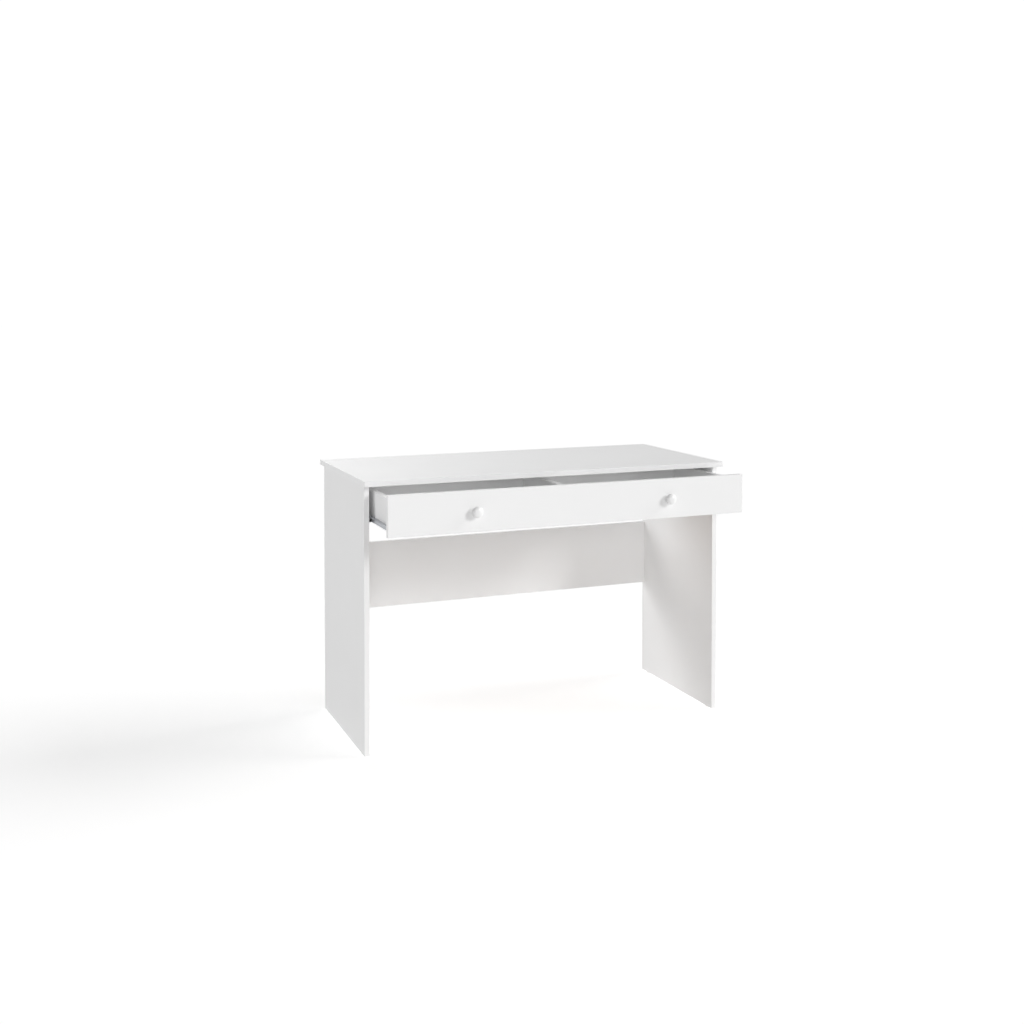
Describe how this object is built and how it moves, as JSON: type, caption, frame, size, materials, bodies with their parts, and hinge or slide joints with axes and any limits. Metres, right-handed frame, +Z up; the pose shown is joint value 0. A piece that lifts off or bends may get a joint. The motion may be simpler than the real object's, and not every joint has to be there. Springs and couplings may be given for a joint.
{
  "type": "writing desk",
  "caption": "White panel writing desk with one wide divided drawer on roller runners, round knobs, side panels for legs and a modesty panel at the rear.",
  "frame": {"origin": "on the floor, under the middle of the desk's outline with the drawer open as at rest", "axes": "+X to the right as seen by the sitter, +Y from the sitter to the wall, +Z up"},
  "size_m": [1.1, 0.667, 0.75],
  "materials": {
    "white_board": "white melamine foil on chipboard, fine pearl texture, satin",
    "edge_band": "white ABS edge band, satin",
    "bottom_board": "white lacquered hardboard",
    "knob_lacquer": "turned beech in satin white lacquer",
    "zinc_steel": "bright zinc plating on steel",
    "cam_alloy": "die-cast zinc alloy, dull grey",
    "roller_plastic": "white acetal, smooth",
    "glide_plastic": "white polyethylene, matt",
    "cap_plastic": "white polystyrene, satin",
    "beech_dowel": "fluted beech, raw"
  },
  "bodies": {
    "carcass": {"desktop": "white_board", "desktop_edge_band": "edge_band", "left_side_panel": "white_board", "right_side_panel": "white_board", "left_side_edge_band": "edge_band", "right_side_edge_band": "edge_band", "modesty_panel": "white_board", "modesty_edge_band": "edge_band", "carcass_cam_locks": "cam_alloy", "carcass_cam_bolts": "zinc_steel", "carcass_dowels": "beech_dowel", "cam_cover_caps": "cap_plastic", "left_cabinet_runner": "zinc_steel", "right_cabinet_runner": "zinc_steel", "cabinet_roller_axles": "zinc_steel", "cabinet_runner_screws": "zinc_steel", "floor_glides": "glide_plastic", "glide_nails": "zinc_steel"},
    "drawer": {"drawer_front": "white_board", "drawer_front_edge_band": "edge_band", "drawer_left_side": "white_board", "drawer_right_side": "white_board", "drawer_back": "white_board", "drawer_divider": "white_board", "drawer_box_edge_bands": "edge_band", "drawer_bottom_left": "bottom_board", "drawer_bottom_right": "bottom_board", "left_knob": "knob_lacquer", "right_knob": "knob_lacquer", "knob_screws": "zinc_steel", "left_drawer_runner": "zinc_steel", "right_drawer_runner": "zinc_steel", "drawer_roller_axles": "zinc_steel", "drawer_runner_screws": "zinc_steel", "drawer_cam_locks": "cam_alloy", "drawer_cam_bolts": "zinc_steel", "drawer_dowels": "beech_dowel", "drawer_box_screws": "zinc_steel"},
    "left_front_roller": {"left_front_roller": "roller_plastic"},
    "right_front_roller": {"right_front_roller": "roller_plastic"},
    "left_rear_roller": {"left_rear_roller": "roller_plastic"},
    "right_rear_roller": {"right_rear_roller": "roller_plastic"}
  },
  "joints": [
    {"name": "drawer_slide", "type": "slide", "parent": "carcass", "child": "drawer", "axis": [0, -1, 0], "range_m": [-0.168, 0.092]},
    {"name": "left_front_roller_spin", "type": "hinge", "parent": "carcass", "child": "left_front_roller", "pos_m": [-0.52515, -0.1145, 0.6415], "axis": [1, 0, 0], "continuous": true},
    {"name": "right_front_roller_spin", "type": "hinge", "parent": "carcass", "child": "right_front_roller", "pos_m": [0.52515, -0.1145, 0.6415], "axis": [1, 0, 0], "continuous": true},
    {"name": "left_rear_roller_spin", "type": "hinge", "parent": "drawer", "child": "left_rear_roller", "pos_m": [-0.52235, 0.0475, 0.6415], "axis": [1, 0, 0], "continuous": true},
    {"name": "right_rear_roller_spin", "type": "hinge", "parent": "drawer", "child": "right_rear_roller", "pos_m": [0.52235, 0.0475, 0.6415], "axis": [1, 0, 0], "continuous": true}
  ],
  "couplings": [
    {"joint": "left_front_roller_spin", "follows": "drawer_slide", "rad_per_m": 142.86},
    {"joint": "right_front_roller_spin", "follows": "drawer_slide", "rad_per_m": 142.86},
    {"joint": "left_rear_roller_spin", "follows": "drawer_slide", "rad_per_m": 142.86},
    {"joint": "right_rear_roller_spin", "follows": "drawer_slide", "rad_per_m": 142.86}
  ]
}
